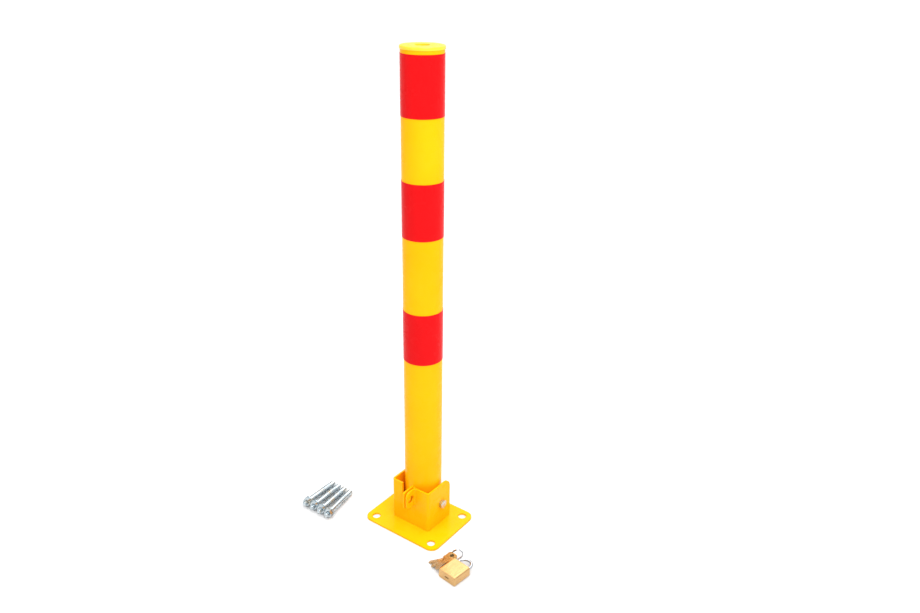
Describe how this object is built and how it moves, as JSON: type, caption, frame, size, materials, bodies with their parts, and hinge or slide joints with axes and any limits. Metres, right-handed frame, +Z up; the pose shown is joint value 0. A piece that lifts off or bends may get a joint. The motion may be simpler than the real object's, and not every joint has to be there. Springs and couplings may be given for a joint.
{
  "type": "fold-down parking post",
  "caption": "Yellow fold-down parking post with red reflective bands, hinged in a bolt-down bracket and locked upright by a padlock, with keys and sleeve anchors.",
  "frame": {"origin": "centre of the anchor hole pattern on the underside of the base plate, on the ground", "axes": "+Z up along the upright post, the post folds down towards +Y, the bracket web with the lock ears faces -Y, the hinge bolt runs along X"},
  "size_m": [0.3282, 0.157, 0.7586],
  "materials": {
    "yellow_paint": "glossy powder coat",
    "yellow_plastic": "glossy",
    "red_film": "reflective film",
    "zinc_steel": "bright zinc",
    "chrome_steel": "polished",
    "brass": "satin",
    "key_brass": "satin",
    "nylon": "matt"
  },
  "bodies": {
    "base": {"base_plate": "yellow_paint", "bracket": "yellow_paint", "bracket_welds": "yellow_paint", "hinge_bolt": "zinc_steel", "hinge_washer": "zinc_steel", "hinge_nut": "zinc_steel", "hinge_nut_insert": "nylon"},
    "post": {"post_tube": "yellow_paint", "pivot_tube": "yellow_paint", "pivot_welds": "yellow_paint", "lock_lug": "yellow_paint", "lug_welds": "yellow_paint", "top_cap": "yellow_plastic", "red_band_lower": "red_film", "red_band_middle": "red_film", "red_band_upper": "red_film"},
    "padlock": {"padlock_body": "brass", "plug_retaining_pin": "zinc_steel", "driver_pins": "zinc_steel", "pin_springs": "zinc_steel", "pin_chamber_caps": "brass", "latch_spring": "zinc_steel", "latch_channel_plug": "brass"},
    "shackle": {"padlock_shackle": "chrome_steel"},
    "plug": {"padlock_plug": "brass", "key_pins": "brass"},
    "latch": {"padlock_latch": "zinc_steel"},
    "ring": {"key_ring": "chrome_steel"},
    "key_1": {"key_1": "key_brass"},
    "key_2": {"key_2": "key_brass"},
    "key_3": {"key_3": "key_brass"},
    "anchors": {"anchor_studs": "zinc_steel", "anchor_nuts": "zinc_steel", "anchor_washers": "zinc_steel", "anchor_sleeves": "zinc_steel"}
  },
  "joints": [
    {"name": "post_fold", "type": "hinge", "parent": "base", "child": "post", "pos_m": [0, 0.011, 0.039], "axis": [-1, 0, 0], "range_deg": [0, 90]},
    {"name": "padlock_lift", "type": "slide", "parent": "base", "child": "padlock", "axis": [0, 0, 1], "range_m": [0, 0.06]},
    {"name": "shackle_slide", "type": "slide", "parent": "padlock", "child": "shackle", "axis": [0.1219, 0.9925, 0], "range_m": [0, 0.01]},
    {"name": "plug_turn", "type": "hinge", "parent": "padlock", "child": "plug", "pos_m": [0.12743, -0.09437, 0.008], "axis": [0.1219, 0.9925, 0], "range_deg": [0, 90]},
    {"name": "latch_slide", "type": "slide", "parent": "padlock", "child": "latch", "axis": [0.9925, -0.1219, 0], "range_m": [0, 0.0014]},
    {"name": "keys_lift", "type": "slide", "parent": "base", "child": "ring", "axis": [0, 0, 1], "range_m": [0, 0.06]},
    {"name": "key_1_swing", "type": "hinge", "parent": "ring", "child": "key_1", "pos_m": [0.10583, -0.05087, 0.003], "axis": [-0.0313, -0.0738, 0.9968], "range_deg": [-8, 8]},
    {"name": "key_2_swing", "type": "hinge", "parent": "ring", "child": "key_2", "pos_m": [0.10583, -0.05087, 0.003], "axis": [-0.0313, -0.0738, 0.9968], "range_deg": [-8, 8]},
    {"name": "key_3_swing", "type": "hinge", "parent": "ring", "child": "key_3", "pos_m": [0.10583, -0.05087, 0.003], "axis": [-0.0313, -0.0738, 0.9968], "range_deg": [-8, 6]},
    {"name": "anchors_lift", "type": "slide", "parent": "base", "child": "anchors", "axis": [0, 0, 1], "range_m": [0, 0.06]}
  ],
  "couplings": [
    {"joint": "latch_slide", "follows": "plug_turn", "m_per_rad": 0.00089}
  ]
}
